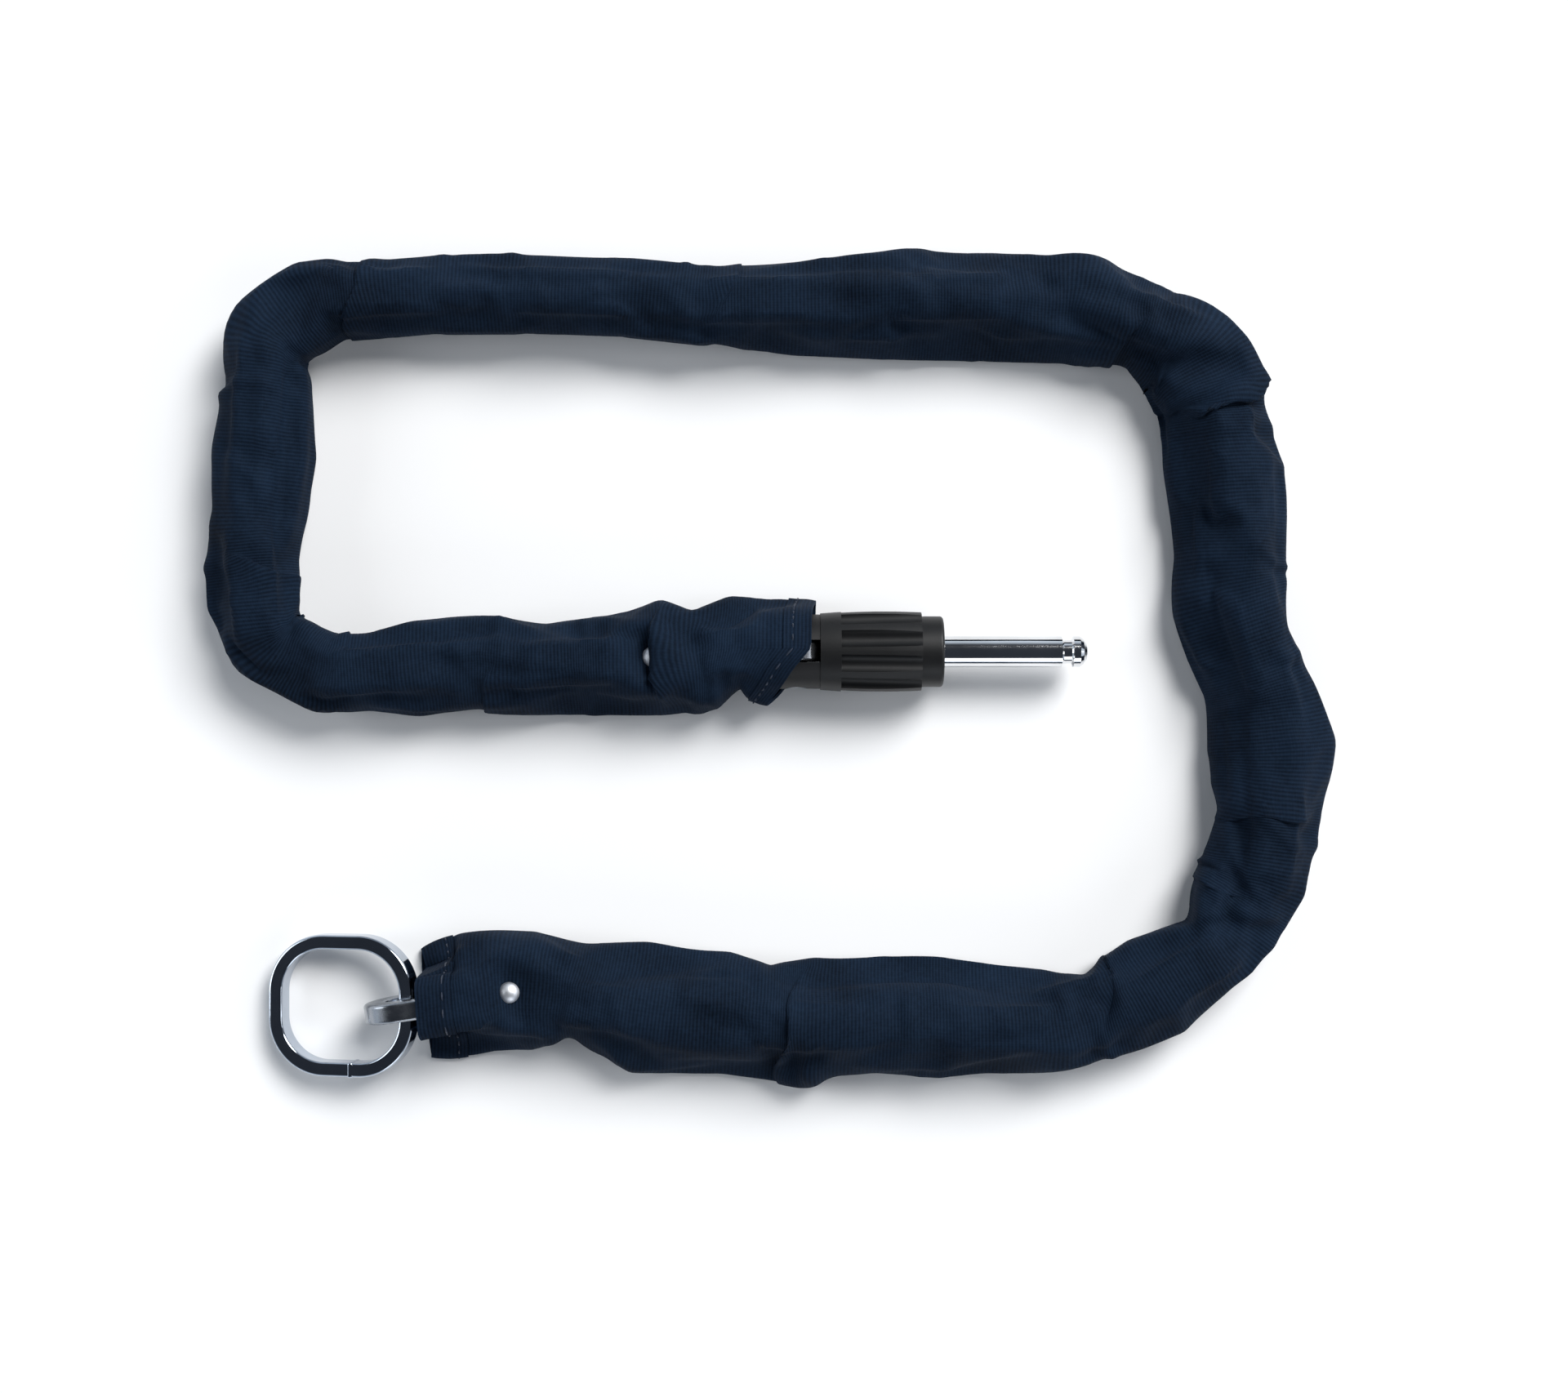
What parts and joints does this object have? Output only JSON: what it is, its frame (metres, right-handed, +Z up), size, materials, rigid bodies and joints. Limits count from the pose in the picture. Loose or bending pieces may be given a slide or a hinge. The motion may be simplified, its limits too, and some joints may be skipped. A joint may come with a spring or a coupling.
{
  "type": "plug-in chain for a bicycle frame lock",
  "caption": "Square-link security chain in a woven fabric sleeve, with a welded loop ring at one end and a locking pin plug at the other",
  "frame": {"origin": "on the locking pin's axis, at the collar face that the pin leaves", "axes": "+X along the pin, away from the plug; +Z up from the surface that the chain lies on"},
  "size_m": [0.3127, 0.2291, 0.0226],
  "materials": {
    "links": "zinc plated hardened steel",
    "ring": "polished chrome, with a ground weld",
    "rivets": "plated steel, domed",
    "pin": "polished chrome",
    "fork": "black coated steel",
    "plug_plastic": "black moulded plastic, satin",
    "sleeve": "navy woven polyester with fine cross ribs",
    "hem": "navy woven polyester, turned in and stitched"
  },
  "bodies": {
    "ring": {"end_ring": "ring"},
    "ring_link": {"chain_link_01": "links"},
    "ring_end_run": {"chain_link_02": "links", "chain_link_03": "links", "chain_link_04": "links", "sleeve_01": "sleeve", "hem_ring_end": "hem", "ring_end_rivet": "rivets", "ring_end_rivet_cap": "rivets"},
    "bottom_run": {"chain_link_05": "links", "chain_link_06": "links", "chain_link_07": "links", "chain_link_08": "links", "sleeve_02": "sleeve"},
    "lower_right_run": {"chain_link_09": "links", "chain_link_10": "links", "sleeve_03": "sleeve"},
    "right_run": {"chain_link_11": "links", "chain_link_12": "links", "chain_link_13": "links", "sleeve_04": "sleeve"},
    "upper_right_run": {"chain_link_14": "links", "chain_link_15": "links", "chain_link_16": "links", "sleeve_05": "sleeve"},
    "top_run": {"chain_link_17": "links", "chain_link_18": "links", "chain_link_19": "links", "chain_link_20": "links", "chain_link_21": "links", "sleeve_06": "sleeve"},
    "top_left_run": {"chain_link_22": "links", "chain_link_23": "links", "chain_link_24": "links", "chain_link_25": "links", "chain_link_26": "links", "sleeve_07": "sleeve"},
    "left_run": {"chain_link_27": "links", "chain_link_28": "links", "chain_link_29": "links", "sleeve_08": "sleeve"},
    "inner_run": {"chain_link_30": "links", "chain_link_31": "links", "chain_link_32": "links", "sleeve_09": "sleeve"},
    "plug_run": {"chain_link_33": "links", "chain_link_34": "links", "sleeve_10": "sleeve", "plug_end_rivet": "rivets", "plug_end_rivet_cap": "rivets"},
    "plug_link": {"chain_link_35": "links"},
    "plug": {"plug_pin": "pin", "plug_collar": "plug_plastic", "plug_cover": "plug_plastic", "plug_fork": "fork", "cross_pin": "fork"}
  },
  "joints": [
    {"name": "top_right_fold", "type": "hinge", "parent": "top_run", "child": "upper_right_run", "pos_m": [0.06759, 0.08538, 0], "axis": [0, 0, 1], "range_deg": [-10, 75], "deforming": ["sleeve_05"]},
    {"name": "upper_right_fold", "type": "hinge", "parent": "upper_right_run", "child": "right_run", "pos_m": [0.07955, 0.01728, 0], "axis": [0, 0, 1], "range_deg": [-8, 55], "deforming": ["sleeve_04"]},
    {"name": "right_fold", "type": "hinge", "parent": "right_run", "child": "lower_right_run", "pos_m": [0.08714, -0.06464, 0], "axis": [0, 0, 1], "range_deg": [-8, 70], "deforming": ["sleeve_03"]},
    {"name": "lower_right_fold", "type": "hinge", "parent": "lower_right_run", "child": "bottom_run", "pos_m": [0.04901, -0.09753, 0], "axis": [0, 0, -1], "range_deg": [-60, 10], "deforming": ["sleeve_02"]},
    {"name": "bottom_fold", "type": "hinge", "parent": "bottom_run", "child": "ring_end_run", "pos_m": [-0.05339, -0.10094, 0], "axis": [0, 0, 1], "range_deg": [-25, 70], "deforming": ["sleeve_01"]},
    {"name": "ring_link_swing", "type": "hinge", "parent": "ring_end_run", "child": "ring_link", "pos_m": [-0.12347, -0.09399, 0], "axis": [0, 0, 1], "range_deg": [-9, 9]},
    {"name": "ring_swing", "type": "hinge", "parent": "ring_link", "child": "ring", "pos_m": [-0.1464, -0.0975, -0.0007], "axis": [0, 1, 0], "range_deg": [0, 90]},
    {"name": "top_middle_fold", "type": "hinge", "parent": "top_run", "child": "top_left_run", "pos_m": [-0.06605, 0.09481, 0], "axis": [0, 0, 1], "range_deg": [-75, 8], "deforming": ["sleeve_06"]},
    {"name": "top_left_fold", "type": "hinge", "parent": "top_left_run", "child": "left_run", "pos_m": [-0.18466, 0.08602, 0], "axis": [0, 0, -1], "range_deg": [-10, 15], "deforming": ["sleeve_07"]},
    {"name": "left_fold", "type": "hinge", "parent": "left_run", "child": "inner_run", "pos_m": [-0.1859, 0.00232, 0], "axis": [0, 0, 1], "range_deg": [-15, 12], "deforming": ["sleeve_08"]},
    {"name": "inner_fold", "type": "hinge", "parent": "inner_run", "child": "plug_run", "pos_m": [-0.11768, -0.00405, 0], "axis": [0, 0, -1], "range_deg": [-20, 22], "deforming": ["sleeve_09"]},
    {"name": "plug_swing", "type": "hinge", "parent": "plug_run", "child": "plug_link", "pos_m": [-0.06635, -0.00017, 0], "axis": [0, 0, -1], "range_deg": [-35, 35], "deforming": ["sleeve_10"]},
    {"name": "plug_rock", "type": "hinge", "parent": "plug_link", "child": "plug", "pos_m": [-0.0401, 0, 0], "axis": [0, -1, 0], "range_deg": [0, 6]}
  ]
}
